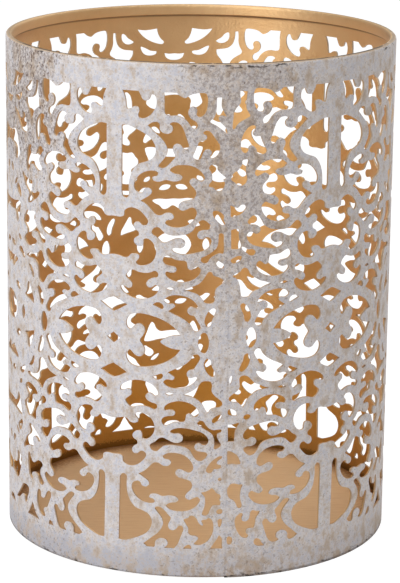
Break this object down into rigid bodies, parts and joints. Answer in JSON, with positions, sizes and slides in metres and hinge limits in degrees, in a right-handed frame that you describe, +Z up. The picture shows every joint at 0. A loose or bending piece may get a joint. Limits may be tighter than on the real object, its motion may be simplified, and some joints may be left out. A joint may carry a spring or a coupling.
{
  "type": "tea light holder",
  "caption": "Round tea light holder: a tall open sleeve of thin sheet steel, pierced with scrolls and leaves, hemmed at the mouth and joined at a seam, over a flat pan for the candle.",
  "frame": {"origin": "on the table, in the middle of the foot", "axes": "+Z up along the sleeve's axis, -Y towards the front, whose seam stands a little to the right, +X to the right"},
  "size_m": [0.1, 0.1, 0.13],
  "materials": {
    "whitewashed_steel": "chalky white paint, worn and specked, over sheet steel that is gold inside",
    "gold_paint": "satin metallic gold"
  },
  "bodies": {
    "root": {"sleeve": "whitewashed_steel", "base_pan": "gold_paint"}
  },
  "joints": []
}
